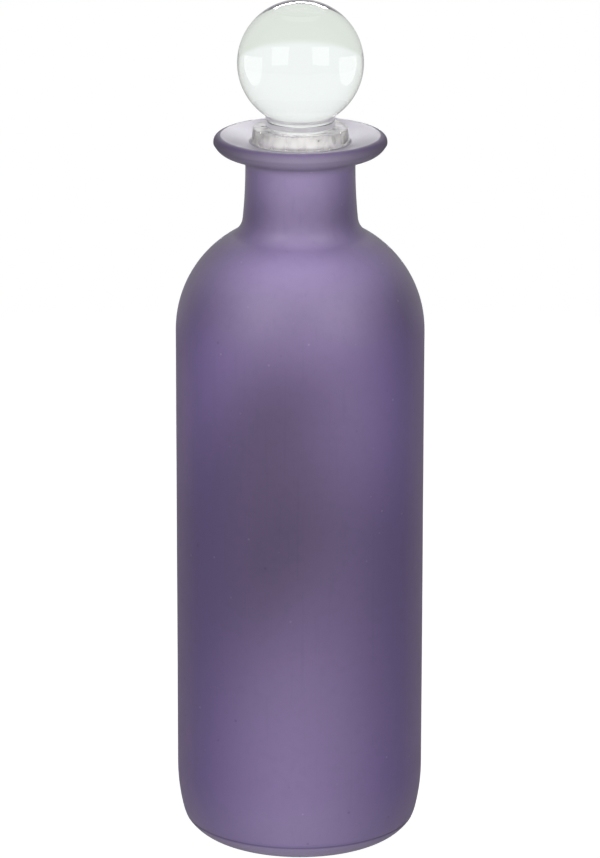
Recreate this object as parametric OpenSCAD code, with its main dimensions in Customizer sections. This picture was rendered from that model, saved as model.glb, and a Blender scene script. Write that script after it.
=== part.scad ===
// Frosted glass bottle with a clear glass ball stopper in a ribbed plastic seal.
// Origin: centre of the base on the surface it stands on. +Z runs up the bottle's axis.
// Millimetres throughout. Every piece is a turned form about +Z.

/* [Body] */
// Diameter of the straight-sided body
body_d = 79.6; // [74:0.2:92]
// Height at which the straight side ends and the shoulder begins
shoulder_z = 169.3; // [130:0.1:220]
// Thickness of the glass in the body, heel and shoulder
wall = 3; // [2.2:0.1:4]

/* [Base] */
// How far the resting ring's outer edge lies inside the body wall
base_inset = 13.4; // [12.6:0.1:15]
// Width of the flat ring that the bottle rests on
ring_w = 3; // [2:0.1:5]
// Radius of the rounded corner between the resting ring and the mould seam
base_corner_r = 12.7; // [11:0.1:13]
// Height of the mould seam round the heel
seam_z = 6.3; // [5:0.1:7.5]
// How far the glass above the mould seam stands out past the glass below it
seam_step = 0.12; // [0.05:0.01:0.3]
// Radius of the heel's slow sweep from the mould seam into the body wall
heel_r = 61; // [30:1:90]
// Height of the push-up under the middle of the base
push_up_h = 3.5; // [2:0.1:6]
// Thickness of the glass in the middle of the base
base_t = 4.6; // [3.6:0.1:8]
// Radius of the rounded corner inside the heel
heel_inner_r = 9; // [6:0.5:12]

/* [Shoulder and neck] */
// Radius of the round shoulder
shoulder_r = 36.2; // [34:0.1:38]
// Radius of the hollow where the neck rises out of the shoulder
neck_root_r = 7; // [3:0.5:8]
// Diameter of the neck at its narrowest, just under the lip
neck_d = 35; // [33:0.2:38]
// Height from the start of the shoulder to the corner under the lip
neck_h = 56.1; // [50:0.1:70]
// Radius of the slow hollow curve that widens the neck downwards
neck_sweep_r = 165; // [100:5:300]
// Diameter of the bore that takes the stopper
bore_d = 27; // [26:0.1:28.4]
// Radius at the foot of the bore, where it opens into the shoulder
bore_root_r = 8; // [5:0.5:10]

/* [Lip] */
// Diameter over the lip
lip_d = 55.2; // [50:0.1:62]
// Height of the lip's underside, from the corner at the neck up to the rim's lower edge
lip_under_h = 5; // [4:0.1:7]
// How far the underside climbs on its flatter inner part, before it turns up to the rim
belly_h = 2.3; // [1:0.1:3.4]
// How far that turn lies inside the rim
belly_in = 1.8; // [1.4:0.1:3]
// Radius of that turn
belly_r = 5.7; // [2:0.1:6]
// Height of the lip's rim, from its lower edge to the corner above it
rim_h = 3.25; // [3.2:0.05:6]
// Depth of the dished top, from the rim's upper corner down to the stopper's seat
dish_drop = 2.65; // [1:0.05:3]
// Radius of the rim's upper corner
rim_top_r = 2.2; // [0.8:0.1:2.3]
// Radius of the rim's lower edge
rim_low_r = 0.6; // [0.3:0.1:1]
// Radius of the hollow corner between the neck and the lip's underside
lip_root_r = 3.4; // [1.5:0.1:5]
// Radius of the softened edge at the mouth of the bore
mouth_r = 0.6; // [0.3:0.1:1]
// Width of the level seat that shows round the stopper's flange
seat_margin = 0.6; // [0.3:0.1:1.5]

/* [Stopper] */
// Diameter of the glass ball
ball_d = 40; // [32:0.5:56]
// Height of the beaded neck that shows between the seal and the ball
bead_h = 4.1; // [3:0.1:6]
// How far the beads stand out past the stem, which is also the shoulder that sits on the seal
bead_out = 0.9; // [0.6:0.1:1.4]
// Depth of the groove between the two beads
bead_groove = 0.45; // [0.2:0.05:0.6]
// Diameter of the glass stem
stem_d = 20.4; // [18:0.1:22]
// How far the stem's tip stands out below the seal
stem_tip = 2; // [1:0.1:4]
// Radius of the rounded edge at the stem's tip
stem_edge_r = 1.6; // [0.6:0.1:3]

/* [Seal] */
// Height of the seal's flange, which stands on the lip
flange_h = 4.55; // [3:0.05:7]
// How far the flange reaches out past the bore
flange_reach = 2.2; // [1.6:0.1:3.5]
// How much the flange narrows from its foot to its top
flange_taper = 0.7; // [0.2:0.1:1]
// Radius of the flange's upper edge
flange_edge_r = 0.5; // [0.2:0.1:0.8]
// Length of the ribbed sleeve below the flange
sleeve_l = 20; // [16:0.5:24]
// Number of sealing ribs round the sleeve
rib_n = 4; // [2:1:5]
// Height of each rib above the sleeve
rib_h = 0.9; // [0.5:0.05:1.1]
// Width of each rib at its root
rib_w = 1.6; // [1:0.1:2]
// Width of each rib at its rounded tip
rib_tip_w = 0.5; // [0.3:0.1:0.8]
// Size of the lead-in chamfer at the sleeve's lower end
lead_in = 0.8; // [0.4:0.1:1]

/* [Fits] */
// Radial clearance between the ribs and the bore
rib_clear = 0.05; // [0.03:0.01:0.1]
// Radial clearance between the stem and the sleeve that it turns in
stem_clear = 0.05; // [0.03:0.01:0.1]

/* [Hidden] */
$fn = 96;
// Longest straight step of a profile arc, as its turn in degrees and as its length
step_turn = 10;
step_length = 2;

// Radii
body_r = body_d / 2;
inner_r = body_r - wall;
neck_r = neck_d / 2;
bore_r = bore_d / 2;
lip_r = lip_d / 2;
ball_r = ball_d / 2;
stem_r = stem_d / 2;
bead_r = stem_r + bead_out;
sleeve_inner_r = stem_r + stem_clear;
rib_r = bore_r - rib_clear;
sleeve_r = rib_r - rib_h;
flange_r = bore_r + flange_reach;
flange_top_r = flange_r - flange_taper;
seat_r = flange_r + seat_margin;
ring_r = body_r - base_inset;
ring_inner_r = ring_r - ring_w;

// Heights
lip_corner_z = shoulder_z + neck_h;
rim_low_z = lip_corner_z + lip_under_h;
rim_top_z = rim_low_z + rim_h;
seat_z = rim_top_z - dish_drop;
sleeve_end_z = seat_z - sleeve_l;
stem_end_z = sleeve_end_z - stem_tip;
flange_top_z = seat_z + flange_h;
ball_foot_z = flange_top_z + bead_h;
ball_z = ball_foot_z + sqrt(pow(ball_r, 2) - pow(bead_r, 2));
rib_pitch = sleeve_l / (rib_n + 0.5);

// Direction of a vector, from 0 to 360 degrees
function bearing(v) = let (a = atan2(v[1], v[0])) a < 0 ? a + 360 : a;

// Points of an arc about c from angle a0 to a1
function arc(c, r, a0, a1) =
    let (turn = abs(a1 - a0), length = turn * PI / 180 * r)
    let (n = max(2, ceil(max(turn / step_turn, length / step_length))))
    [for (i = [0 : n]) let (a = a0 + (a1 - a0) * i / n) c + r * [cos(a), sin(a)]];

// Distance from a corner q to where a rounding of radius r begins
function setback(p, q, s, r) =
    let (u = (p - q) / norm(p - q), v = (s - q) / norm(s - q))
    r / tan(acos(u * v) / 2);

// Points that round the corner q, between p and s, with radius r
function round_corner(p, q, s, r) =
    let (u = (p - q) / norm(p - q), v = (s - q) / norm(s - q))
    let (half = acos(u * v) / 2, c = q + (u + v) / norm(u + v) * r / sin(half))
    let (a0 = bearing(q + u * r / tan(half) - c), a1 = bearing(q + v * r / tan(half) - c))
    arc(c, r, a0, a1 - a0 > 180 ? a1 - 360 : a0 - a1 > 180 ? a1 + 360 : a1);

// Centre of the circle that lies at distances d1 from c1 and d2 from c2, on the upper left of c1-c2
function tangent_centre(c1, d1, c2, d2) =
    let (d = norm(c2 - c1), u = (c2 - c1) / d)
    let (along = (pow(d1, 2) - pow(d2, 2) + pow(d, 2)) / (2 * d))
    c1 + along * u + sqrt(pow(d1, 2) - pow(along, 2)) * [-u[1], u[0]];

// Shoulder: one arc from the body wall up to the root of the neck
shoulder_c = [body_r - shoulder_r, shoulder_z];

// Lip corners, from the neck outwards and back to the mouth of the bore
neck_corner = [neck_r, lip_corner_z];
neck_below = [neck_r, shoulder_z];
belly = [lip_r - belly_in, lip_corner_z + belly_h];
rim_low = [lip_r, rim_low_z];
rim_top = [lip_r, rim_top_z];
seat_edge = [seat_r, seat_z];
mouth = [bore_r, seat_z];
bore_below = [bore_r, shoulder_z];

// Neck: a slow hollow sweep, upright where the lip's root rounding begins
neck_sweep_c = [neck_r + neck_sweep_r,
                lip_corner_z - setback(neck_below, neck_corner, belly, lip_root_r)];
neck_root_c = tangent_centre(shoulder_c, shoulder_r + neck_root_r,
                             neck_sweep_c, neck_sweep_r - neck_root_r);
root_foot_a = bearing(neck_root_c - shoulder_c);
root_head_a = bearing(neck_root_c - neck_sweep_c);

// Heel: a rounded corner up to the mould seam, then a slow sweep into the body wall
corner_a = acos(1 - seam_z / base_corner_r);
seam_r = ring_r + base_corner_r * sin(corner_a) + seam_step;
heel_a = acos(1 - (body_r - seam_r) / heel_r);
heel_top_z = seam_z + heel_r * sin(heel_a);

// Push-up: a shallow dome under the base, and the floor of the bottle parallel to it
dome_r = (pow(ring_inner_r, 2) + pow(push_up_h, 2)) / (2 * push_up_h);
dome_c = [0, push_up_h - dome_r];
dome_a = acos(ring_inner_r / dome_r);
floor_r = dome_r + base_t;
heel_inner_c = [inner_r - heel_inner_r,
                dome_c[1] + sqrt(pow(floor_r + heel_inner_r, 2) - pow(inner_r - heel_inner_r, 2))];
floor_a = bearing(heel_inner_c - dome_c);

// Inside of the shoulder: parallel to the outside, rounded into the bore
bore_root_c = [bore_r + bore_root_r,
               shoulder_z + sqrt(pow(shoulder_r - wall + bore_root_r, 2)
                                 - pow(bore_r + bore_root_r - shoulder_c[0], 2))];
bore_root_a = bearing(bore_root_c - shoulder_c);

outside = concat(
    arc(dome_c, dome_r, 90, dome_a),
    arc([ring_r, base_corner_r], base_corner_r, -90, corner_a - 90),
    arc([body_r - heel_r, heel_top_z], heel_r, -heel_a, 0),
    arc(shoulder_c, shoulder_r, 0, root_foot_a),
    arc(neck_root_c, neck_root_r, root_foot_a + 180, root_head_a),
    arc(neck_sweep_c, neck_sweep_r, root_head_a, 180),
    round_corner(neck_below, neck_corner, belly, lip_root_r),
    round_corner(neck_corner, belly, rim_low, belly_r),
    round_corner(belly, rim_low, rim_top, rim_low_r),
    round_corner(rim_low, rim_top, seat_edge, rim_top_r),
    [seat_edge]);

inside = concat(
    round_corner(seat_edge, mouth, bore_below, mouth_r),
    arc(bore_root_c, bore_root_r, 180, bore_root_a + 180),
    arc(shoulder_c, shoulder_r - wall, bore_root_a, 0),
    arc(heel_inner_c, heel_inner_r, 0, floor_a - 180),
    arc(dome_c, floor_r, floor_a, 90));

// The bottle: one shell of frosted glass, with its heel, shoulder, neck and dished lip
module bottle() {
    color([0.50, 0.42, 0.60])
        rotate_extrude()
            polygon(concat(outside, inside));
}

// One sealing rib, as a ring whose root is sunk in the sleeve wall
module rib() {
    root_r = (sleeve_r + sleeve_inner_r) / 2;
    rotate_extrude()
        polygon([[root_r, -rib_w / 2], [sleeve_r, -rib_w / 2], [rib_r, -rib_tip_w / 2],
                 [rib_r, rib_tip_w / 2], [sleeve_r, rib_w / 2], [root_r, rib_w / 2]]);
}

// The seal: a clear plastic flange that stands on the lip, with a ribbed sleeve in the bore
module seal_sleeve() {
    flange_foot = [flange_r, seat_z];
    flange_head = [flange_top_r, flange_top_z];
    flange_inner = [sleeve_inner_r, flange_top_z];
    color([0.93, 0.93, 0.90, 0.6]) {
        rotate_extrude()
            polygon(concat(
                [[sleeve_inner_r, sleeve_end_z], [sleeve_r - lead_in, sleeve_end_z],
                 [sleeve_r, sleeve_end_z + lead_in], [sleeve_r, seat_z], flange_foot],
                round_corner(flange_foot, flange_head, flange_inner, flange_edge_r),
                [flange_inner]));
        for (i = [1 : rib_n])
            translate([0, 0, sleeve_end_z + (i - 0.25) * rib_pitch])
                rib();
    }
}

// The stopper: a clear glass ball on a beaded neck, with a plain stem below
module stopper() {
    sink = ball_r / 4;
    bead = bead_h / 2;
    // Where round its curve the lower bead is cut off flat to sit on the seal
    cut_a = 30;
    tip = [stem_r, stem_end_z];
    color([0.88, 0.93, 0.91, 0.5])
        union() {
            translate([0, 0, ball_z])
                sphere(d = ball_d);
            rotate_extrude()
                polygon(concat(
                    [[0, stem_end_z]],
                    round_corner([0, stem_end_z], tip, [stem_r, seat_z], stem_edge_r),
                    [[stem_r, flange_top_z]],
                    [for (t = [cut_a : 30 : 180])
                        [bead_r - bead_groove * (1 - sin(t)),
                         flange_top_z + bead * (t - cut_a) / (180 - cut_a)]],
                    [for (t = [30 : 30 : 180])
                        [bead_r - bead_groove * (1 - sin(t)), flange_top_z + bead * (1 + t / 180)]],
                    [[bead_r - bead_groove, ball_foot_z + sink], [0, ball_foot_z + sink]]));
        }
}

bottle();
seal_sleeve();
stopper();
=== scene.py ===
# %% [markdown]
# # A frosted violet bottle with a clear glass ball stopper
#
# The bottle stands on a table and holds about three quarters of a litre. It has three
# separate pieces: the frosted glass shell, a ribbed seal of clear soft plastic that stands
# in the mouth, and a solid glass ball on a stem that turns inside the seal. The seal and
# the ball lift out together, and the ball also turns by itself.
#
# The packed model comes in first, as the fixed frame. Its solids stay where they are, and
# every piece made below takes the place of one of them. All sizes below are in
# millimetres, because glass is measured that way, and become metres once, in `to_metres`.

# %% Load the frame
import math

import bmesh
import bpy
from mathutils import Matrix, Vector


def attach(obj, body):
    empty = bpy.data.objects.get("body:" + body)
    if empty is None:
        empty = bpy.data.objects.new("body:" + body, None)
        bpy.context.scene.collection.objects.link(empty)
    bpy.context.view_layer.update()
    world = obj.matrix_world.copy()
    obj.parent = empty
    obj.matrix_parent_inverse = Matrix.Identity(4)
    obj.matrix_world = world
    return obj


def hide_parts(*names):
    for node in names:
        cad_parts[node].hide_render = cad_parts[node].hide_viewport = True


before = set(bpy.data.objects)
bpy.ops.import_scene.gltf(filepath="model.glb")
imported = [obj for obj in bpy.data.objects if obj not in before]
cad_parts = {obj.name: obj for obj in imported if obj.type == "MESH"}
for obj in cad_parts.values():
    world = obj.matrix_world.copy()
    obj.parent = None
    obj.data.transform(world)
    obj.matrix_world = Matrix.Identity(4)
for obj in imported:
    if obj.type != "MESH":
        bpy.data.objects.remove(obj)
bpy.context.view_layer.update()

# %% [markdown]
# ## The camera
#
# A bottle looks slim and upright through a long lens from far away. A short lens close by
# would spread its foot and its shoulder. This camera stands 1.64 m in front of the axis and
# looks a little down, so that the lip shows its top and the heel its curve. It is rolled by
# less than a tenth of a degree, as a camera on a tripod nearly always is.

# %% Place the camera
CAMERA_AWAY, CAMERA_UP = 1.640, 0.62346  # metres from the axis and above the table
CAMERA_DOWN, CAMERA_ROLL = 16.554, 0.08  # degrees
LENS = 223.42  # millimetres
CLIP_NEAR, CLIP_FAR = 0.05, 50

camera = bpy.data.objects.new("camera", bpy.data.cameras.new("camera"))
bpy.context.scene.collection.objects.link(camera)
camera.location = (0, -CAMERA_AWAY, CAMERA_UP)
down = Matrix.Rotation(math.radians(90 - CAMERA_DOWN), 3, "X")
camera.rotation_euler = (down @ Matrix.Rotation(math.radians(CAMERA_ROLL), 3, "Z")).to_euler()
camera.data.lens = LENS
camera.data.clip_start, camera.data.clip_end = CLIP_NEAR, CLIP_FAR
bpy.context.scene.camera = camera
bpy.context.scene.view_settings.view_transform = "Standard"
print("camera", tuple(camera.location), "lens", LENS)

# %% [markdown]
# ## Drawing an outline
#
# Every piece here is turned: on a lathe, in a mould with a round cavity, or on a blowing
# iron. A turned form needs only its outline on one side of the axis, as a list of points
# (radius, height). Glass has no sharp corners, because its surface pulls itself round when
# it is hot, so most of an outline is arcs that meet smoothly. `arc` gives the points of
# one arc, and `rounded` softens a corner with one.

# %% Helpers for outlines
STEP_TURN, STEP_LENGTH = 4.0, 1.6  # the longest step: degrees of an arc, and millimetres
SAME_POINT = 1e-4  # closer points than this, in millimetres, are one point


def arc(centre, radius, start, end):
    """Points round centre, from one angle to another in degrees, in short even steps."""
    turn = abs(end - start)
    steps = max(2, math.ceil(max(turn / STEP_TURN, math.radians(turn) * radius / STEP_LENGTH)))
    angles = [math.radians(start + (end - start) * i / steps) for i in range(steps + 1)]
    return [Vector(centre) + radius * Vector((math.cos(a), math.sin(a))) for a in angles]


def bearing(v):
    """Direction of a vector, in degrees."""
    return math.degrees(math.atan2(v.y, v.x))


def rounded(before, corner, after, radius):
    """Points of the arc that rounds a corner between two straight lines."""
    before, corner, after = Vector(before), Vector(corner), Vector(after)
    u, v = (before - corner).normalized(), (after - corner).normalized()
    half = u.angle(v) / 2
    centre = corner + (u + v).normalized() * radius / math.sin(half)
    start = bearing(corner + u * radius / math.tan(half) - centre)
    end = bearing(corner + v * radius / math.tan(half) - centre)
    end += 360 * round((start - end) / 360)
    return arc(centre, radius, start, end)


def tangent_centre(c1, d1, c2, d2):
    """Centre at distance d1 from c1 and d2 from c2, on the upper left of the line c1-c2."""
    c1, c2 = Vector(c1), Vector(c2)
    u = (c2 - c1).normalized()
    d = (c2 - c1).length
    along = (d1 * d1 - d2 * d2 + d * d) / (2 * d)
    return c1 + along * u + math.sqrt(d1 * d1 - along * along) * Vector((-u.y, u.x))


def to_metres(outline):
    """The outline in metres, without doubled points and with its long straights divided."""
    points = []
    for p in map(Vector, outline):
        if points and (p - points[-1]).length < SAME_POINT:
            continue
        if points:
            gap = p - points[-1]
            pieces = math.ceil(gap.length / STEP_LENGTH - 1e-6)
            points += [points[-1] + gap * i / pieces for i in range(1, pieces)]
        points.append(p)
    return [p / 1000 for p in points]


print("a quarter circle of 10 mm takes", len(arc((0, 0), 10, 0, 90)), "points")


# %% [markdown]
# ## Building node trees in Python
#
# The form below and every finish are trees of nodes. One helper adds any node: first its
# settings, because they decide which inputs it has, and then its inputs by name. Another
# adds a Math node, the commonest kind.

# %% Add one node
def link_up(tree, kind, settings=None, **inputs):
    """Adds a node, applies its settings, then fills or links its inputs by name.

    Some nodes have two inputs with the same name; a list fills them in order.
    """
    node = tree.nodes.new(kind)
    for name, value in (settings or {}).items():
        setattr(node, name, value)
    for name, given in inputs.items():
        sockets = [s for s in node.inputs if s.enabled and s.name == name.replace("_", " ")]
        for socket, value in zip(sockets, given if isinstance(given, list) else [given]):
            if isinstance(value, bpy.types.NodeSocket):
                tree.links.new(value, socket)
            else:
                socket.default_value = value
    return node


def maths(tree, operation, a, b=0.0):
    """The result of one Math node on two numbers or sockets."""
    return link_up(tree, "ShaderNodeMath", {"operation": operation}, Value=[a, b]).outputs[0]


print("node helpers:", link_up.__name__, "and", maths.__name__)


# %% [markdown]
# ## Turning an outline into a solid
#
# A Screw modifier or Spin could turn an outline. A Geometry Nodes tree does it here,
# because the same rule then makes all three pieces and its sizes stay named inputs. The
# tree lays down a flat grid with one row for each point of the outline and one column for
# each step round the axis, and then moves each grid point to its place on the form. Where
# the columns meet, and on the axis, the doubled points are merged, so that the solid is
# closed. The `Sag` input pulls the surface in by a few hundredths of a millimetre here and
# there, as blown glass is never quite true.

# %% Build the turning tree
MERGE_WITHIN = 1e-6  # metres


def turning_tree():
    """The tree that turns an outline, a chain of points in the XZ plane, about Z."""
    tree = bpy.data.node_groups.new("Turned form", "GeometryNodeTree")
    sockets = tree.interface.new_socket
    sockets("Outline", in_out="INPUT", socket_type="NodeSocketGeometry")
    for name, kind, value in (
        ("Steps round", "NodeSocketInt", 192),
        ("Sag", "NodeSocketFloat", 0.0),
        ("Sag size", "NodeSocketFloat", 0.05),
        ("Seed", "NodeSocketFloat", 1.0),
    ):
        sockets(name, in_out="INPUT", socket_type=kind).default_value = value
    sockets("Finish", in_out="INPUT", socket_type="NodeSocketMaterial")
    sockets("Turned", in_out="OUTPUT", socket_type="NodeSocketGeometry")
    given = tree.nodes.new("NodeGroupInput").outputs

    rows = link_up(
        tree, "GeometryNodeAttributeDomainSize", Geometry=given["Outline"]
    ).outputs["Point Count"]
    columns = maths(tree, "ADD", given["Steps round"], 1)
    grid = link_up(tree, "GeometryNodeMeshGrid", Vertices_X=columns, Vertices_Y=rows)
    index = tree.nodes.new("GeometryNodeInputIndex").outputs[0]
    column = maths(tree, "FLOOR", maths(tree, "DIVIDE", index, rows))
    row = maths(tree, "SUBTRACT", index, maths(tree, "MULTIPLY", column, rows))
    place = tree.nodes.new("GeometryNodeInputPosition").outputs[0]
    point = link_up(
        tree,
        "GeometryNodeSampleIndex",
        {"data_type": "FLOAT_VECTOR", "clamp": True},
        Geometry=given["Outline"],
        Value=place,
        Index=row,
    ).outputs["Value"]
    apart = link_up(tree, "ShaderNodeSeparateXYZ", Vector=point).outputs
    angle = maths(
        tree, "MULTIPLY", maths(tree, "DIVIDE", column, given["Steps round"]), math.tau
    )
    turned = link_up(
        tree,
        "ShaderNodeCombineXYZ",
        X=maths(tree, "MULTIPLY", apart["X"], maths(tree, "COSINE", angle)),
        Y=maths(tree, "MULTIPLY", apart["X"], maths(tree, "SINE", angle)),
        Z=apart["Z"],
    ).outputs[0]
    form = link_up(
        tree, "GeometryNodeSetPosition", Geometry=grid.outputs["Mesh"], Position=turned
    ).outputs[0]
    closed = link_up(
        tree, "GeometryNodeMergeByDistance", Geometry=form, Distance=MERGE_WITHIN
    ).outputs[0]

    noise = link_up(
        tree,
        "ShaderNodeTexNoise",
        {"noise_dimensions": "4D"},
        Vector=place,
        W=given["Seed"],
        Scale=maths(tree, "DIVIDE", 1.0, given["Sag size"]),
        Detail=1.0,
    ).outputs[0]
    normal = tree.nodes.new("GeometryNodeInputNormal").outputs[0]
    depth = maths(tree, "MULTIPLY", maths(tree, "MULTIPLY", noise, -1.0), given["Sag"])
    inward = link_up(
        tree, "ShaderNodeVectorMath", {"operation": "SCALE"}, Vector=normal, Scale=depth
    ).outputs[0]
    sagged = link_up(
        tree, "GeometryNodeSetPosition", Geometry=closed, Offset=inward
    ).outputs[0]
    smooth = link_up(tree, "GeometryNodeSetShadeSmooth", Geometry=sagged).outputs[0]
    real = link_up(tree, "GeometryNodeRealizeInstances", Geometry=smooth).outputs[0]
    done = link_up(
        tree, "GeometryNodeSetMaterial", Geometry=real, Material=given["Finish"]
    ).outputs[0]
    tree.links.new(done, tree.nodes.new("NodeGroupOutput").inputs[0])
    return tree


TURNING = turning_tree()
print("tree", TURNING.name, "with", len(TURNING.nodes), "nodes")


# %% [markdown]
# A modifier keeps each input under its socket's identifier, such as Socket_2, and not
# under the name that shows in the panel. `turn` looks the identifiers up, fills them
# before the object is evaluated for the first time, and then keeps only the plain mesh.

# %% Turn one piece
def face_outwards(mesh):
    """Turns the faces outwards, checks that no edge is open, and measures the volume."""
    solid = bmesh.new()
    solid.from_mesh(mesh)
    bmesh.ops.recalc_face_normals(solid, faces=solid.faces)
    if solid.calc_volume(signed=True) < 0:
        bmesh.ops.reverse_faces(solid, faces=solid.faces)
    volume = solid.calc_volume(signed=True)
    assert all(edge.is_manifold for edge in solid.edges), "an edge is open"
    solid.to_mesh(mesh)
    solid.free()
    return volume


def turn(name, outline, finish, **sizes):
    """A closed mesh object turned from an outline in millimetres."""
    points = to_metres(outline)
    chain = bpy.data.meshes.new(name + "_outline")
    edges = [(i, i + 1) for i in range(len(points) - 1)]
    chain.from_pydata([(p.x, 0, p.y) for p in points], edges, [])
    drawn = bpy.data.objects.new(name + "_outline", chain)
    bpy.context.scene.collection.objects.link(drawn)
    modifier = drawn.modifiers.new("turn", "NODES")
    modifier.node_group = TURNING
    values = {"Finish": finish, **{k.replace("_", " "): v for k, v in sizes.items()}}
    for socket in TURNING.interface.items_tree:
        if socket.in_out == "INPUT" and socket.name in values:
            modifier[socket.identifier] = values[socket.name]
    drawn.update_tag()
    depsgraph = bpy.context.evaluated_depsgraph_get()
    mesh = bpy.data.meshes.new_from_object(drawn.evaluated_get(depsgraph))
    mesh.name = name
    volume = face_outwards(mesh)
    piece = bpy.data.objects.new(name, mesh)
    bpy.context.scene.collection.objects.link(piece)
    bpy.data.objects.remove(drawn)
    triangles = sum(len(face.vertices) - 2 for face in mesh.polygons)
    print(name, len(points), "rows,", triangles, "triangles,", round(volume * 1e9), "mm3")
    return piece


# %% [markdown]
# ## Writing a finish as sums
#
# A finish is a node tree, and most of its nodes are plain arithmetic on masks. `Sum` wraps
# a socket, so that `1 - mask * 0.3` in Python adds the Math nodes by itself. Colours and
# vectors don't go through Math nodes, which would turn them grey.

# %% A number that varies over a surface
def plain(value):
    """The socket inside a Sum, or the value as it is."""
    return value.socket if isinstance(value, Sum) else value


class Sum:
    """A number that varies over a surface, with Python's operators."""

    def __init__(self, finish, socket):
        self.finish, self.socket = finish, socket

    def _with(self, operation, a, b):
        return Sum(self.finish, maths(self.finish.tree, operation, plain(a), plain(b)))

    def __add__(self, other):
        return self._with("ADD", self, other)

    def __sub__(self, other):
        return self._with("SUBTRACT", self, other)

    def __rsub__(self, other):
        return self._with("SUBTRACT", other, self)

    def __mul__(self, other):
        return self._with("MULTIPLY", self, other)

    def __truediv__(self, other):
        return self._with("DIVIDE", self, other)

    def __pow__(self, other):
        return self._with("POWER", self, other)

    def __rpow__(self, other):
        return self._with("POWER", other, self)

    __radd__, __rmul__ = __add__, __mul__

    def most(self, other):
        return self._with("MAXIMUM", self, other)


print("reflected operators:", [name for name in vars(Sum) if name.startswith("__r")])


# %% [markdown]
# `Finish` holds one node tree. `node` adds any node: first its settings, then its inputs.
# The other methods are short names for what nearly every finish needs: `blend` mixes two
# colours and `choose` two shaders, `step` and `near` make soft-edged masks, `noise` makes
# patches, `part` takes one part of a vector, and `ray` tells what kind of ray is looking.

# %% The node tree of a material, a lamp or the world
class Finish:
    """The node tree of a material, a lamp or the world."""

    def __init__(self, owner):
        owner.use_nodes = True
        self.tree = owner.node_tree
        self.tree.nodes.clear()

    def node(self, kind, settings=None, output=0, **inputs):
        """Adds a node and gives back one of its outputs."""
        inputs = {
            name: [plain(v) for v in value] if isinstance(value, list) else plain(value)
            for name, value in inputs.items()
        }
        return Sum(self, link_up(self.tree, kind, settings, **inputs).outputs[output])

    def choose(self, mask, a, b):
        """Shader a where the mask is 0, and shader b where it is 1."""
        return self.node("ShaderNodeMixShader", Fac=mask, Shader=[a, b])

    def blend(self, amount, a, b):
        """Colour a, turning into colour b as amount goes from 0 to 1."""
        settings = {"data_type": "RGBA", "clamp_factor": True}
        return self.node("ShaderNodeMix", settings, 2, Factor=amount, A=a, B=b)

    def step(self, value, low, high):
        """0 below low, 1 above high, and an even curve in between."""
        settings = {"interpolation_type": "SMOOTHSTEP"}
        return self.node(
            "ShaderNodeMapRange", settings, Value=value, From_Min=low, From_Max=high
        )

    def near(self, value, place, inner, outer):
        """1 where the value is within inner of a place, and 0 where it is outer away."""
        return 1 - self.step((value - place).most(place - value), inner, outer)

    def noise(self, where, scale, detail=2.0):
        """Soft random patches, with values from 0 to 1."""
        return self.node("ShaderNodeTexNoise", Vector=where, Scale=scale, Detail=detail)

    def part(self, axis, vector):
        """One part of a vector: X, Y or Z."""
        return self.node("ShaderNodeSeparateXYZ", output=axis, Vector=vector)

    def ray(self, kind):
        """1 for rays of a kind (Camera, Glossy, Transmission or Shadow), and 0 for others."""
        return self.node("ShaderNodeLightPath", output=f"Is {kind} Ray")

    def end(self, shader, kind="ShaderNodeOutputMaterial"):
        """Joins the shader to the tree's output."""
        link_up(self.tree, kind, Surface=plain(shader))


def material(name):
    """A new material and its finish."""
    made = bpy.data.materials.new(name)
    return made, Finish(made)


def grey(value):
    """A grey of one strength."""
    return (value, value, value, 1)


print("finish helpers ready; grey(0.5) is", grey(0.5))

# %% [markdown]
# ## Finish: frosted violet glass
#
# The shell is violet glass whose outside was etched or sprayed satin. No paint colours it:
# light goes into it and comes back out, so its violet is palest where we look straight at
# it and deepens towards the sides, where the line of sight runs a long way inside the wall.
# This shader is opaque, so a Layer Weight node paints that into the colour as painted shade:
# a darker, deeper violet towards the sides, turning lighter and bluer at the very edge. The
# shoulder is painted a little greyer and lighter, a painted sheen where light falls on it,
# and the lip turns mauve. The foot is painted paler, as painted light, for the light that
# its thick glass gathers. A dark hairline of painted shade follows the mould seam's groove
# and the ring where the seal stands.
#
# The colours and places come first. Places are in metres here, as Object coordinates are,
# and a pair of them says where something begins and where it is full.

# %% Colours and places on the frosted glass
VIOLET, DEEP_VIOLET = (0.193, 0.142, 0.280, 1), (0.172, 0.120, 0.300, 1)
EDGE_VIOLET, CLOUD_VIOLET = (0.230, 0.155, 0.345, 1), (0.150, 0.115, 0.225, 1)
# The dark serves the glass's own pits, and painted shade in the seam's groove and round the
# seal's foot
PALE_FLECK, PIT_AND_SHADE_DARK = (0.34, 0.29, 0.44, 1), (0.085, 0.065, 0.125, 1)
# The shoulder's violet is a painted sheen: greyer and lighter than the body
SHOULDER_SHEEN_VIOLET, LIP_MAUVE = (0.194, 0.158, 0.256, 1), (0.182, 0.156, 0.222, 1)
# The foot's lavender is painted light; INSIDE_LIGHT is the glow inside the shell
FOOT_LIGHT_LAVENDER, INSIDE_LIGHT = (0.270, 0.235, 0.325, 1), (0.31, 0.25, 0.40, 1)

FOOT_EDGE, FOOT_FADE = (0.0050, 0.0063), (0.006, 0.028)
SEAM_HEIGHT, SEAM_SHADE_WIDTH = 0.0063, (0.0001, 0.0005)
SHOULDER_SHEEN_FADE, LIP_FADE = (0.165, 0.190), (0.2225, 0.2265)
CONTACT_RADIUS, CONTACT_SHADE_WIDTH, CONTACT_SHADE_FADE = 0.0161, (0.0001, 0.0006), (0.220, 0.226)
ROLL_FADE = (0.229, 0.231)
SEAT_RADIUS, SEAT_FADE = (0.0142, 0.0154), (0.190, 0.200)
INSIDE_FLOOR, INSIDE_MOUTH = (0.010, 0.012), (0.226, 0.228)
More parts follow.
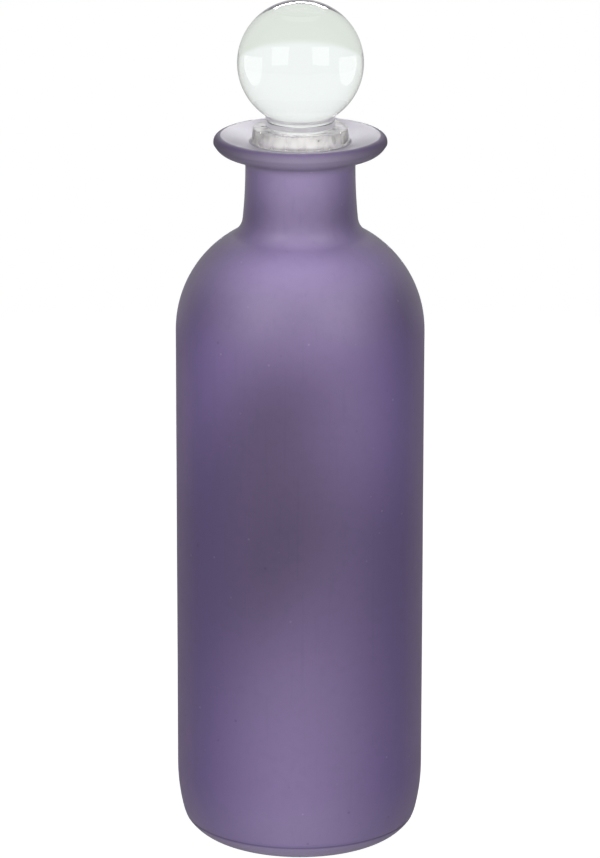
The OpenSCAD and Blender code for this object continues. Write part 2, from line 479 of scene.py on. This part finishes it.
# How far the surface turns from the eye, from 0 to 1, as Layer Weight gives it
TO_DEEP, TO_EDGE = (0.0, 0.45), (0.45, 0.75)
# How far the surface looks up, away from the axis, and towards the axis
LOOKS_UP, LOOKS_OUT, LOOKS_IN = (0.3, 0.8), (-0.08, 0.02), (0.1, 0.2)
print("seam at", SEAM_HEIGHT * 1000, "mm; the seal stands on radius", CONTACT_RADIUS * 1000)

# %% [markdown]
# ### Patterns in the glass
#
# Five patterns break up the even colour, from large to small: broad clouds, upright streaks
# that are noise stretched along the height, a fine mottle, and single points. A Voronoi
# texture's distance is small near each of its centres, so a step on it leaves dots: pale
# flecks and dark pits. `here` lets them stand in loose groups, as such faults do. The grain
# is finer than all of these and goes into the Bump node only.

# %% Make the patterns
CLOUD_SCALE, GROUP_SCALE, MOTTLE_SCALE, GRAIN_SCALE = 38.0, 55.0, 330.0, 1900.0
STREAK_SCALE, STREAK_STRETCH = 700.0, (1, 1, 0.04)
FLECK_SCALE, PIT_SCALE = 160.0, 118.0
# Where each mask goes from 0 to 1, or a dot from its middle to nothing
STREAK_MASK, GROUP_MASK = (0.60, 0.75), (0.44, 0.58)
FLECK_DOT, PIT_DOT = (0.040, 0.080), (0.035, 0.070)

frosted_glass, f = material("frosted_glass")
where = f.node("ShaderNodeTexCoord", output="Object")
clouds = f.noise(where, CLOUD_SCALE, 3.0)
mottle = f.noise(where, MOTTLE_SCALE)
grain = f.noise(where, GRAIN_SCALE)
lengthwise = f.node("ShaderNodeMapping", Vector=where, Scale=STREAK_STRETCH)
streaks = f.step(f.noise(lengthwise, STREAK_SCALE, 1.0), *STREAK_MASK)
flecks, pits = (
    f.node("ShaderNodeTexVoronoi", {"feature": "F1"}, "Distance", Vector=where, Scale=scale)
    for scale in (FLECK_SCALE, PIT_SCALE)
)
here = f.step(f.noise(where, GROUP_SCALE, 1.0), *GROUP_MASK)
fleck = (1 - f.step(flecks, *FLECK_DOT)) * here
pit = (1 - f.step(pits, *PIT_DOT)) * here
print("patterns:", len(f.tree.nodes), "nodes")

# %% [markdown]
# ### Colour by place
#
# Each line below lays one tint over what is there already, so their order matters: the
# large changes first, the hairlines and the dots last. `outward` is 1 where the surface
# faces away from the axis and -1 where it faces the axis. The rim's mauve leaves out what
# looks up, because the lip's dished top is as violet as the body.

# %% Colour the glass
faces = f.node("ShaderNodeTexCoord", output="Normal")
x, y, z = (f.part(axis, where) for axis in "XYZ")
nx, ny, nz = (f.part(axis, faces) for axis in "XYZ")
from_axis = (x * x + y * y) ** 0.5
outward = (x * nx + y * ny) / from_axis
facing = f.node("ShaderNodeLayerWeight", output="Facing", Blend=0.5)

# Painted light: the foot is painted paler below the seam and fading out up to 28 mm, for the
# light its thick glass gathers
foot = (1 - f.step(z, *FOOT_EDGE)) * 0.4 + (1 - f.step(z, *FOOT_FADE)) * 0.25
# Painted shade: a dark hairline along the mould seam's groove
seam = f.near(z, SEAM_HEIGHT, *SEAM_SHADE_WIDTH)
rim = f.step(z, *LIP_FADE) * (1 - f.step(nz, *LOOKS_UP))
# Painted shade: a dark hairline on the lip round the seal's foot
contact_shade = f.near(from_axis, CONTACT_RADIUS, *CONTACT_SHADE_WIDTH) * f.step(z, *CONTACT_SHADE_FADE)

# Painted shade by Layer Weight: a darker, deeper violet towards the sides, and lighter and
# bluer at the very edge
colour = f.blend(f.step(facing, *TO_DEEP), VIOLET, DEEP_VIOLET)
for amount, tint in (
    (f.step(facing, *TO_EDGE), EDGE_VIOLET),
    # painted sheen: the shoulder is painted greyer and lighter
    (f.step(z, *SHOULDER_SHEEN_FADE) * 0.6, SHOULDER_SHEEN_VIOLET),
    ((clouds - 0.42) * 0.35, CLOUD_VIOLET),
    ((mottle - 0.46) * 0.8, CLOUD_VIOLET),
    (streaks * 0.20, CLOUD_VIOLET),
    # painted light: the paler foot
    (foot, FOOT_LIGHT_LAVENDER),
    # painted shade in the seam's groove
    (seam * 0.7, PIT_AND_SHADE_DARK),
    (rim * 0.8, LIP_MAUVE),
    (fleck * 0.4, PALE_FLECK),
    (pit * 0.4, PIT_AND_SHADE_DARK),
    # painted shade round the seal's foot
    (contact_shade * 0.6, PIT_AND_SHADE_DARK),
):
    colour = f.blend(amount, colour, tint)
print("patterns and colour:", len(f.tree.nodes), "nodes")

# %% [markdown]
# ### Satin, and the light inside
#
# The satin skin spreads reflections wide, a little more on the lip's rolled rim, and the
# grain roughens it very finely. Real glass also lets some light through its wall, so that
# one never looks into a black hole. This shader is opaque, and the inside gets a soft glow
# in its place, from just above the floor to just under the mouth and on the seat's inner
# edge. `emission_sampling` keeps Cycles from sampling the glow as it does a lamp, which
# would only add noise.

# %% Finish the frosted glass
ROUGHNESS, ROLL_ROUGHER = 0.40, 0.30
relief = f.node("ShaderNodeBump", Strength=0.12, Distance=0.0002, Height=grain)
rolled = f.step(outward, *LOOKS_OUT) * f.step(z, *ROLL_FADE)
seat = (1 - f.step(from_axis, *SEAT_RADIUS)) * f.step(z, *SEAT_FADE)
inward = f.step(outward * -1, *LOOKS_IN)
wall = inward * f.step(z, *INSIDE_FLOOR) * (1 - f.step(z, *INSIDE_MOUTH))
f.end(
    f.node(
        "ShaderNodeBsdfPrincipled",
        Base_Color=colour,
        Roughness=ROUGHNESS + (clouds - 0.5) * 0.1 + rolled * ROLL_ROUGHER,
        IOR=1.5,
        Normal=relief,
        Emission_Color=f.blend(wall.most(seat), grey(0), INSIDE_LIGHT),
        Emission_Strength=1.0,
    )
)
frosted_glass.cycles.emission_sampling = "NONE"
print("frosted_glass", len(f.tree.nodes), "nodes")

# %% [markdown]
# ## The bottle's shell
#
# The shell is one outline that runs from the middle of the push-up under the base, over the
# resting ring, the heel, the body, the shoulder, the neck and the flared lip, and back down
# the inside to the middle of the floor. Two things make it look blown into a mould: the
# heel's seam, a fine groove 6.3 mm above the table where the mould's base plate met its
# sides, and the slow curves of the heel and the neck, which are nowhere quite straight.
# Radii are from the axis, or those of a rounding; a name that ends in Z is a height.

# %% Sizes of the shell
BODY_R, WALL = 39.8, 3.0
SHOULDER_Z, SHOULDER_R = 169.3, 36.2
RING_R, RING_INNER_R, BASE_CORNER_R = 26.4, 23.4, 12.7
SEAM_Z, SEAM_DEEP, SEAM_HALF, SEAM_STEP, SEAM_CLEAR = 6.3, 0.22, 0.35, 0.3, 0.2
HEEL_R, PUSH_UP, BASE_T, HEEL_INNER_R = 61.0, 3.5, 4.6, 9.0
NECK_R, NECK_ROOT_R, NECK_SWEEP_R = 17.5, 7.0, 165.0
BORE_R, BORE_ROOT_R, MOUTH_R = 13.5, 8.0, 0.6
LIP_R, LIP_CORNER_Z, RIM_LOW_Z, RIM_TOP_Z = 27.6, 225.4, 230.4, 233.65
BELLY_X, BELLY_Z, BELLY_R = 25.8, 227.7, 5.7
RIM_LOW_R, RIM_TOP_R, LIP_ROOT_R = 0.6, 2.2, 3.4
SEAT_R, SEAT_Z, SEAT_EDGE_R = 16.3, 231.0, 0.8
print("body", 2 * BODY_R, "mm across, lip", 2 * LIP_R, "neck", 2 * NECK_R, "bore", 2 * BORE_R)


# %% Draw the outside
def shell_outside():
    """The push-up's centre and radius, and the outline from under the base to the seat."""
    dome_r = (RING_INNER_R**2 + PUSH_UP**2) / (2 * PUSH_UP)
    dome_c = Vector((0, PUSH_UP - dome_r))
    corner = math.degrees(math.acos(1 - (SEAM_Z - SEAM_HALF) / BASE_CORNER_R))
    seam_r = RING_R + BASE_CORNER_R * math.sin(math.radians(corner)) + SEAM_STEP
    heel_turn = math.degrees(math.acos(1 - (BODY_R - seam_r) / HEEL_R))
    heel_c = (BODY_R - HEEL_R, SEAM_Z + HEEL_R * math.sin(math.radians(heel_turn)))
    shoulder_c = Vector((BODY_R - SHOULDER_R, SHOULDER_Z))
    neck_corner, rim_low = Vector((NECK_R, LIP_CORNER_Z)), Vector((LIP_R, RIM_LOW_Z))
    belly = Vector((BELLY_X, BELLY_Z))
    slope = (belly - neck_corner).angle(Vector((0, -1)))
    sweep_c = Vector((NECK_R + NECK_SWEEP_R, LIP_CORNER_Z - LIP_ROOT_R / math.tan(slope / 2)))
    root_c = tangent_centre(
        shoulder_c, SHOULDER_R + NECK_ROOT_R, sweep_c, NECK_SWEEP_R - NECK_ROOT_R
    )
    foot, head = bearing(root_c - shoulder_c), bearing(root_c - sweep_c) % 360
    rim_top, seat = (LIP_R, RIM_TOP_Z), (SEAT_R, SEAT_Z)
    above_seam = SEAM_Z + SEAM_HALF + SEAM_CLEAR
    return dome_c, dome_r, [
        *arc(dome_c, dome_r, 90, math.degrees(math.acos(RING_INNER_R / dome_r))),
        *arc((RING_R, BASE_CORNER_R), BASE_CORNER_R, -90, corner - 90),
        (seam_r - SEAM_STEP / 2 - SEAM_DEEP, SEAM_Z),
        (seam_r, SEAM_Z + SEAM_HALF),
        *[p for p in arc(heel_c, HEEL_R, -heel_turn, 0) if p.y > above_seam],
        *arc(shoulder_c, SHOULDER_R, 0, foot),
        *arc(root_c, NECK_ROOT_R, foot + 180, head),
        *arc(sweep_c, NECK_SWEEP_R, head, 180),
        *rounded((NECK_R, SHOULDER_Z), neck_corner, belly, LIP_ROOT_R),
        *rounded(neck_corner, belly, rim_low, BELLY_R),
        *rounded(belly, rim_low, rim_top, RIM_LOW_R),
        *rounded(rim_low, rim_top, seat, RIM_TOP_R),
        *rounded(rim_top, seat, (BORE_R, SEAT_Z), SEAT_EDGE_R),
    ]


dome_c, dome_r, outside = shell_outside()
print("outside:", len(outside), "points, push-up radius", round(dome_r, 1), "mm")


# %% [markdown]
# The inside follows the outside at the wall's thickness where the mould's air pressed the
# glass evenly, and goes its own way where it couldn't: a plain round heel, a thicker base,
# and a straight bore that was sized with a tool, so that the seal fits.

# %% Draw the inside and turn the shell
def shell_inside(dome_c, dome_r):
    """The outline from the seat's inner edge down the bore to the middle of the floor."""
    inner_r, floor_r = BODY_R - WALL, dome_r + BASE_T
    reach = inner_r - HEEL_INNER_R
    heel_c = Vector((reach, dome_c.y + math.sqrt((floor_r + HEEL_INNER_R) ** 2 - reach**2)))
    shoulder_c = Vector((BODY_R - SHOULDER_R, SHOULDER_Z))
    root_x = BORE_R + BORE_ROOT_R
    root_reach = SHOULDER_R - WALL + BORE_ROOT_R
    root_c = Vector(
        (root_x, SHOULDER_Z + math.sqrt(root_reach**2 - (root_x - shoulder_c.x) ** 2))
    )
    foot, floor = bearing(root_c - shoulder_c), bearing(heel_c - dome_c)
    return [
        *rounded((SEAT_R, SEAT_Z), (BORE_R, SEAT_Z), (BORE_R, SHOULDER_Z), MOUTH_R),
        *arc(root_c, BORE_ROOT_R, 180, foot + 180),
        *arc(shoulder_c, SHOULDER_R - WALL, foot, 0),
        *arc(heel_c, HEEL_INNER_R, 0, floor - 180),
        *arc(dome_c, floor_r, floor, 90),
    ]


shell = turn(
    "bottle_shell",
    outside + shell_inside(dome_c, dome_r),
    frosted_glass,
    Steps_round=192,
    Sag=0.0001,
    Sag_size=0.03,
)
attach(shell, "bottle")
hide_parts("bottle")

# %% [markdown]
# ## Finish: clear soft plastic
#
# The seal is moulded in a clear, slightly milky plastic. Light goes through it but is
# scattered a little, so it reads as pale cream with bright edges. Transmission lets the
# stem show through, a soft roughness and a faint bump blur it, and noise lets the
# milkiness come and go in patches. Two dark specks are bits of dirt in the plastic: each is
# a matt black shader, chosen within a small distance of one point. It has no gloss at all,
# because a lamp's reflection would hide something that small. Shadow rays pass, or the seal
# would darken the lip that it stands on.

# %% Make the clear plastic
MILKY, WATERY = (0.93, 0.92, 0.88, 1), (0.985, 0.98, 0.965, 1)
PLASTIC_SHADOW, SPECK_DARK = (0.80, 0.80, 0.78, 1), grey(0.02)
RIPPLE_SCALE, MILK_SCALE, MILK_STRETCH = 420.0, 260.0, (1, 1, 0.5)
MILK_LEAST, MILK_MORE, MILK_MASK = 0.20, 0.20, (0.35, 0.65)
SPECKS = (  # place and radius, in metres
    ((-0.01195, 0.00065, 0.2355), 0.0005),
    ((0.0058, -0.0142, 0.2344), 0.0003),
)
SPECK_BLUR = 0.4  # the soft part of a speck's edge, as a share of its radius

clear_plastic, f = material("clear_plastic")
where = f.node("ShaderNodeTexCoord", output="Object")
ripple = f.noise(where, RIPPLE_SCALE)
relief = f.node("ShaderNodeBump", Strength=0.06, Distance=0.0004, Height=ripple)
stretched = f.node("ShaderNodeMapping", Vector=where, Scale=MILK_STRETCH)
milk = f.step(f.noise(stretched, MILK_SCALE, 1.0), *MILK_MASK) * MILK_MORE + MILK_LEAST
milky = f.node("ShaderNodeBsdfPrincipled", Base_Color=MILKY, Roughness=0.35, Normal=relief)
watery = f.node(
    "ShaderNodeBsdfPrincipled",
    Base_Color=WATERY,
    Roughness=0.03 + ripple * 0.06,
    IOR=1.46,
    Transmission_Weight=1.0,
    Normal=relief,
)
speck = f.node(
    "ShaderNodeBsdfPrincipled", Base_Color=SPECK_DARK, Roughness=0.8, Specular_IOR_Level=0.0
)
body = f.choose(milk, watery, milky)
for place, radius in SPECKS:
    settings = {"operation": "DISTANCE"}
    away = f.node("ShaderNodeVectorMath", settings, "Value", Vector=[where, place])
    beyond = f.step(away, radius * (1 - SPECK_BLUR), radius * (1 + SPECK_BLUR))
    body = f.choose(1 - beyond, body, speck)
passing = f.node("ShaderNodeBsdfTransparent", Color=PLASTIC_SHADOW)
f.end(f.choose(f.ray("Shadow"), body, passing))
print("clear_plastic", len(f.tree.nodes), "nodes,", len(SPECKS), "specks")

# %% [markdown]
# ## The seal
#
# The seal has a low, slightly tapered flange that stands on the lip, and a sleeve with four
# sealing ribs that hangs in the bore. Its outline is closed on itself, so that turning it
# gives a ring.

# %% Draw and turn the seal
FLANGE_R, FLANGE_TOP_R, FLANGE_TOP_Z = 15.7, 15.0, 235.55
SLEEVE_INNER_R, SLEEVE_R, RIB_R, SLEEVE_END_Z = 10.25, 12.55, 13.45, 211.0
FLANGE_FOOT_EDGE_R, FLANGE_EDGE_R, FLANGE_INNER_EDGE_R, LEAD_IN = 0.3, 0.5, 0.25, 0.8
RIBS, RIB_W, RIB_TIP_W, FIRST_RIB = 4, 1.6, 0.5, 0.75
RIB_PITCH = (SEAT_Z - SLEEVE_END_Z) / (RIBS + 0.5)

ribs = []
for i in range(RIBS):
    height = SLEEVE_END_Z + (i + FIRST_RIB) * RIB_PITCH
    ribs += [(SLEEVE_R, height - RIB_W / 2), (RIB_R, height - RIB_TIP_W / 2)]
    ribs += [(RIB_R, height + RIB_TIP_W / 2), (SLEEVE_R, height + RIB_W / 2)]
print(RIBS, "ribs,", round(RIB_PITCH, 2), "mm apart")

foot, head = (FLANGE_R, SEAT_Z), (FLANGE_TOP_R, FLANGE_TOP_Z)
inner_head, inner_foot = (SLEEVE_INNER_R, FLANGE_TOP_Z), (SLEEVE_INNER_R, SLEEVE_END_Z)
seal_outline = [
    inner_foot,
    (SLEEVE_R - LEAD_IN, SLEEVE_END_Z),
    (SLEEVE_R, SLEEVE_END_Z + LEAD_IN),
    *ribs,
    (SLEEVE_R, SEAT_Z),
    *rounded((SLEEVE_R, SEAT_Z), foot, head, FLANGE_FOOT_EDGE_R),
    *rounded(foot, head, inner_head, FLANGE_EDGE_R),
    *rounded(head, inner_head, inner_foot, FLANGE_INNER_EDGE_R),
    inner_foot,
]
seal = turn("seal_ring", seal_outline, clear_plastic, Steps_round=160)
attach(seal, "seal")
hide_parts("seal_sleeve")

# %% [markdown]
# ## Finish: clear polished glass
#
# The stopper is solid clear glass with the faintest green. Glass needs nothing but a
# Principled shader with full transmission, its index of 1.5 and something to reflect. Two
# helpers make it useful in a picture: shadow rays pass straight through, because a lamp's
# light would otherwise not reach what the ball shades, and a very weak bump gives the tiny
# waves of a pressed glass surface.
#
# The stem inside the seal is ground, not polished, as a stopper's stem is where it has to
# grip. That part is pale and rough, with a faint glow for the light that comes down to it
# through the ball. Without it, the seal round the stem would look dark.

# %% Make the clear glass
GLASS_TINT, GLASS_SHADOW = (0.985, 0.995, 0.985, 1), (0.90, 0.92, 0.90, 1)
STEM_PALE, STEM_GLOW = (0.26, 0.25, 0.27, 1), (0.26, 0.25, 0.28, 1)
GROUND_SHARE, GROUND_TOP = 0.6, (0.2345, 0.2355)  # the heights are in metres
WAVE_SCALE = 120.0

clear_glass, f = material("clear_glass")
where = f.node("ShaderNodeTexCoord", output="Object")
waves = f.noise(where, WAVE_SCALE)
relief = f.node("ShaderNodeBump", Strength=0.02, Distance=0.0004, Height=waves)
polished = f.node(
    "ShaderNodeBsdfPrincipled",
    Base_Color=GLASS_TINT,
    Roughness=0.0,
    IOR=1.5,
    Transmission_Weight=1.0,
    Normal=relief,
)
ground = f.node(
    "ShaderNodeBsdfPrincipled",
    Base_Color=STEM_PALE,
    Roughness=0.5,
    Emission_Color=STEM_GLOW,
    Emission_Strength=1.0,
)
in_seal = 1 - f.step(f.part("Z", where), *GROUND_TOP)
body = f.choose(in_seal * GROUND_SHARE, polished, ground)
passing = f.node("ShaderNodeBsdfTransparent", Color=GLASS_SHADOW)
f.end(f.choose(f.ray("Shadow"), body, passing))
print("clear_glass", len(f.tree.nodes), "nodes")

# %% [markdown]
# ## The stopper
#
# A ball, a short neck with two beads, and a plain stem, all one piece of glass. The lower
# bead stands on the seal. The ball is drawn in fine steps, because everything behind it is
# seen through its surface, and a facet would break the picture it shows.

# %% Draw and turn the stopper
BALL_R, BEADS_H, BEAD_R, BEAD_GROOVE = 20.0, 4.1, 11.1, 0.45
BEAD_START, BEAD_STEP = 36, 12  # degrees round a bead; the lower one starts part way up
STEM_R, STEM_END_Z, STEM_EDGE_R = 10.2, 209.0, 1.6
BALL_Z = FLANGE_TOP_Z + BEADS_H + math.sqrt(BALL_R**2 - BEAD_R**2)
STEP_TURN, STEP_LENGTH = 1.5, 1.0  # finer steps for all arcs from here on

neck_r, bead_h = BEAD_R - BEAD_GROOVE, BEADS_H / 2
bead_points = [
    (neck_r + BEAD_GROOVE * math.sin(math.radians(t)), FLANGE_TOP_Z + bead_h * (k + t / 180))
    for k, start in ((0, BEAD_START), (1, 0))
    for t in range(start, 181, BEAD_STEP)
]
print("ball's middle at", round(BALL_Z, 2), "mm,", len(bead_points), "points on the beads")
join = math.degrees(math.asin(-math.sqrt(BALL_R**2 - neck_r**2) / BALL_R))
stopper_outline = [
    (0, STEM_END_Z),
    *rounded((0, STEM_END_Z), (STEM_R, STEM_END_Z), (STEM_R, SEAT_Z), STEM_EDGE_R),
    (STEM_R, FLANGE_TOP_Z),
    *bead_points[:-1],
    *arc((0, BALL_Z), BALL_R, join, 90),
]
stopper = turn("stopper_ball", stopper_outline, clear_glass, Steps_round=240)
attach(stopper, "stopper")
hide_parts("stopper")

# %% [markdown]
# ## The table
#
# The table is white paper, 2.4 m wide, that ends a little more than half a metre behind the
# bottle. Nobody sees that edge, since the wall behind is white too, but the ball shows it
# upside down as a curved horizon: whatever is below is seen in the ball's upper half.
#
# Light Path gives the paper a look for each kind of ray. The camera sees plain white that
# still takes a faint shadow. Through the glass it is a shade darker and greener. In
# reflections it is paper with a faint glow, and as a surface that throws light back on the
# bottle it is plain paper.

# %% Lay the table
TABLE_HALF, TABLE_FRONT, TABLE_END = 1.2, 1.5, 0.63
GLASS_FLOOR, GLASS_BACK = (0.81, 0.86, 0.80, 1), (0.955, 0.995, 0.985, 1)
PAPER, PAPER_SHADOW, PAPER_GLOW = grey(0.80), grey(0.25), grey(0.12)
PAPER_WHITE = 0.97
FADE_START = 0.48

floor_finish, f = material("studio_floor")
paper = f.node("ShaderNodeBsdfDiffuse", Color=PAPER)
white = f.node("ShaderNodeEmission", Color=grey(1), Strength=PAPER_WHITE)
shadow = f.node("ShaderNodeBsdfDiffuse", Color=PAPER_SHADOW)
seen = f.node("ShaderNodeAddShader", Shader=[white, shadow])
glow = f.node("ShaderNodeEmission", Color=PAPER_GLOW, Strength=1.0)
mirrored = f.node("ShaderNodeAddShader", Shader=[paper, glow])
away = f.part("Y", f.node("ShaderNodeTexCoord", output="Object"))
look = f.blend(f.step(away, FADE_START, TABLE_END), GLASS_FLOOR, GLASS_BACK)
through = f.node("ShaderNodeEmission", Color=look, Strength=1.0)
look = f.choose(f.ray("Glossy"), f.choose(f.ray("Camera"), paper, seen), mirrored)
f.end(f.choose(f.ray("Transmission"), look, through))

table = bpy.data.meshes.new("table")
left, right, front, back = -TABLE_HALF, TABLE_HALF, -TABLE_FRONT, TABLE_END
corners = [(left, front, 0), (right, front, 0), (right, back, 0), (left, back, 0)]
table.from_pydata(corners, [], [(0, 1, 2, 3)])
table.materials.append(floor_finish)
floor = bpy.data.objects.new("table", table)
bpy.context.scene.collection.objects.link(floor)
print("table", tuple(floor.dimensions))

# %% [markdown]
# ## The room
#
# Clear glass shows only what is round it, and satin glass shows it blurred, so the world is
# not one flat colour. Light Path keeps its jobs apart. The camera sees plain white, and an
# even dim grey fills the shadows. Glass shows a white wall behind, sides that are nearly
# white, and a dim room in front, where the camera stands. That dim room is what draws the
# thin grey line round the ball. Reflections get the same room, darker, so that the satin
# glass keeps its violet.

# %% Build the room
FILL, MIRROR_ROOM, MIRROR_WALL = grey(0.16), grey(0.10), grey(0.6)
GLASS_SIDE, GLASS_FRONT = (0.96, 0.98, 0.96, 1), (0.22, 0.23, 0.22, 1)
# How far behind a direction points, from -1 to 1: where the next look begins and is full
TO_MIRROR_WALL, TO_SIDE, TO_BACK = (0.2, 0.7), (0.08, 0.46), (0.3, 0.8)

world = bpy.data.worlds.new("studio")
bpy.context.scene.world = world
f = Finish(world)
behind = f.part("Y", f.node("ShaderNodeTexCoord", output="Generated"))
mirror_look = f.blend(f.step(behind, *TO_MIRROR_WALL), MIRROR_ROOM, MIRROR_WALL)
glass_look = f.blend(f.step(behind, *TO_SIDE), GLASS_FRONT, GLASS_SIDE)
glass_look = f.blend(f.step(behind, *TO_BACK), glass_look, GLASS_BACK)
look = f.blend(f.ray("Glossy"), FILL, mirror_look)
look = f.blend(f.ray("Transmission"), look, glass_look)
look = f.blend(f.ray("Camera"), look, grey(1))
f.end(f.node("ShaderNodeBackground", Color=look, Strength=1.0), "ShaderNodeOutputWorld")
print("world", len(f.tree.nodes), "nodes")

# %% [markdown]
# ## The lamps
#
# Two large soft boxes stand in front, to the left and right of the camera. They light the
# bottle evenly and show as the two bright windows in the ball. A lamp's place is given as
# an azimuth and an elevation round the bottle, as on a globe.

# %% Hang the soft boxes
BALL = (0, 0, 0.2563)
BOX_AZIMUTH, BOX_ELEVATION, BOX_AWAY, BOX_ROLL = 40.4, 21.3, 1.0, 12.4
BOX_WIDTH, BOX_HEIGHT, BOX_RADIANCE = 0.57, 0.56, 1.7


def around(azimuth, elevation, distance, centre=BALL):
    """A point round the bottle; azimuth 0 is the camera's side and 90 is the right."""
    a, e = math.radians(azimuth), math.radians(elevation)
    out = Vector((math.sin(a) * math.cos(e), -math.cos(a) * math.cos(e), math.sin(e)))
    return Vector(centre) + out * distance


def aim(data, place, target, roll=0.0):
    """An object that holds a lamp at a place and points it at a target."""
    made = bpy.data.objects.new(data.name, data)
    bpy.context.scene.collection.objects.link(made)
    made.location = place
    facing = (Vector(target) - Vector(place)).to_track_quat("-Z", "Y").to_matrix()
    made.rotation_euler = (facing @ Matrix.Rotation(math.radians(roll), 3, "Z")).to_euler()
    return made


def soft_box(name, place, target, width, height, radiance, roll=0.0):
    """A rectangular soft box; radiance 1 is as bright as white paper in plain light."""
    data = bpy.data.lights.new(name, "AREA")
    data.shape = "RECTANGLE"
    data.size, data.size_y = width, height
    data.energy = radiance * math.pi * width * height
    return aim(data, place, target, roll)


for side, sign in (("left", -1), ("right", 1)):
    place = around(sign * BOX_AZIMUTH, BOX_ELEVATION, BOX_AWAY)
    roll = -sign * BOX_ROLL
    soft_box(f"soft_box_{side}", place, BALL, BOX_WIDTH, BOX_HEIGHT, BOX_RADIANCE, roll)
    print("soft box", side, "at azimuth", sign * BOX_AZIMUTH)

# %% [markdown]
# Two more lamps stand behind. The strip is seen only in reflections: it lies just where the
# lip's dished top mirrors it to the camera, and makes the satin there shine. The back box
# is for those who walk round the bottle, because all other lamps stand in front. Its spread
# is narrow, like a grid on a soft box, so that it lights the bottle and not the table.

# %% Hang the lamps behind
STRIP_ELEVATION, STRIP_AWAY = 25.5, 1.0
STRIP_WIDTH, STRIP_HEIGHT, STRIP_RADIANCE = 0.6, 0.09, 27.0
BACK_ELEVATION, BACK_AWAY, BACK_FROM, BACK_TARGET = 2.0, 1.3, (0, 0, 0.16), (0, 0, 0.14)
BACK_WIDTH, BACK_HEIGHT, BACK_RADIANCE, BACK_SPREAD = 0.4, 0.25, 0.75, 20

place = around(180, STRIP_ELEVATION, STRIP_AWAY)
strip = soft_box("strip_light", place, BALL, STRIP_WIDTH, STRIP_HEIGHT, STRIP_RADIANCE)
strip.visible_transmission = strip.visible_diffuse = False
place = around(180, BACK_ELEVATION, BACK_AWAY, BACK_FROM)
back_box = soft_box("back_box", place, BACK_TARGET, BACK_WIDTH, BACK_HEIGHT, BACK_RADIANCE)
back_box.visible_transmission = back_box.visible_glossy = back_box.visible_camera = False
back_box.data.spread = math.radians(BACK_SPREAD)
print("behind:", strip.name, "and", back_box.name)

# %% [markdown]
# ## The front lamp and its slide
#
# A fifth lamp stands just under the camera, 1.6 m from the bottle. In its beam is a slide
# with soft pools, which lighting crews call a cookie, so that the light falls unevenly:
# brightest on the lower front, the shoulder and the neck, with a dim patch left of the
# middle. A pool with a negative strength is a shade that takes light away. A spot lamp can
# have a node tree too. Texture Coordinate's Normal gives the direction of each ray in the
# lamp's own frame, and X and Y over Z give the place on the slide. Each pool is one bell
# curve, written as a sum. The lamp itself is tiny, so that the pools keep their edges.

# %% Draw the slide's pools
# Each pool: across and up from the beam's middle, half width and half height, in
# millimetres at the bottle; tilt in radians; strength
POOLS = [
    (-3.7, -105.8, 40.9, 93.8, 0.04, 0.745),
    (2.8, 73.0, 46.0, 9.6, 0.03, 1.41),
    (23.0, 23.7, 21.4, 29.7, 0.0, 0.471),
    (5.5, 55.4, 23.5, 15.8, 0.21, 0.706),
    (-0.8, 101.2, 23.2, 11.6, 0.02, 1.04),
    (-27.4, 46.2, 15.5, 50.5, -0.45, 0.647),
    (-10.1, -29.0, 17.9, 35.6, -0.38, -0.270),
    (0.0, 109.5, 26.0, 6.5, 0.0, 0.36),
    (21.0, 60.3, 14.6, 39.7, 0.0, 0.134),
    (-15.5, 85.0, 5.5, 7.0, 0.0, -0.36),
    (15.5, 85.0, 6.0, 7.0, 0.0, -0.30),
    (36.0, 66.0, 5.0, 11.0, 0.0, -0.30),
    (0.0, 90.0, 20.0, 9.0, 0.0, 0.18),
    (0.0, 76.5, 26.0, 3.2, 0.0, 0.40),
]


def bell(across, up, pool):
    """A soft pool of light on the slide."""
    x, y, half_width, half_height, tilt, strength = pool
    dx, dy = across - x, up - y
    u = (dx * math.cos(tilt) + dy * math.sin(tilt)) / half_width
    v = (dy * math.cos(tilt) - dx * math.sin(tilt)) / half_height
    return math.e ** (0 - u * u - v * v) * strength


print(len(POOLS), "pools,", sum(pool[-1] < 0 for pool in POOLS), "of them shades")

# %% [markdown]
# A spot lamp's energy spreads over the whole sphere round it. The energy below is what makes
# white paper at the bottle just white where the slide's strength is 1.

# %% Hang the front lamp
SLIDE_AWAY, SLIDE_ELEVATION, SLIDE_TARGET = 1.6, 10, (0, 0, 0.12)
BEAM_RADIUS, BEAM_SOFT, LAMP_RADIUS = 0.24, 0.2, 0.006

front_lamp = bpy.data.lights.new("front_lamp", "SPOT")
front_lamp.spot_size, front_lamp.spot_blend = 2 * math.atan(BEAM_RADIUS / SLIDE_AWAY), BEAM_SOFT
front_lamp.shadow_soft_size = LAMP_RADIUS
front_lamp.energy = 4 * math.pi**2 * SLIDE_AWAY**2
f = Finish(front_lamp)
ray = f.node("ShaderNodeTexCoord", output="Normal")
x, y, z = (f.part(axis, ray) for axis in "XYZ")
across, up = x / z * (-1000 * SLIDE_AWAY), y / z * (-1000 * SLIDE_AWAY)
light = sum(bell(across, up, pool) for pool in POOLS).most(0)
f.end(f.node("ShaderNodeEmission", Strength=light), "ShaderNodeOutputLight")
place = around(0, SLIDE_ELEVATION, SLIDE_AWAY, SLIDE_TARGET)
hung = aim(front_lamp, place, SLIDE_TARGET)
hung.visible_glossy = hung.visible_transmission = False
print("front lamp", len(f.tree.nodes), "nodes")

# %% [markdown]
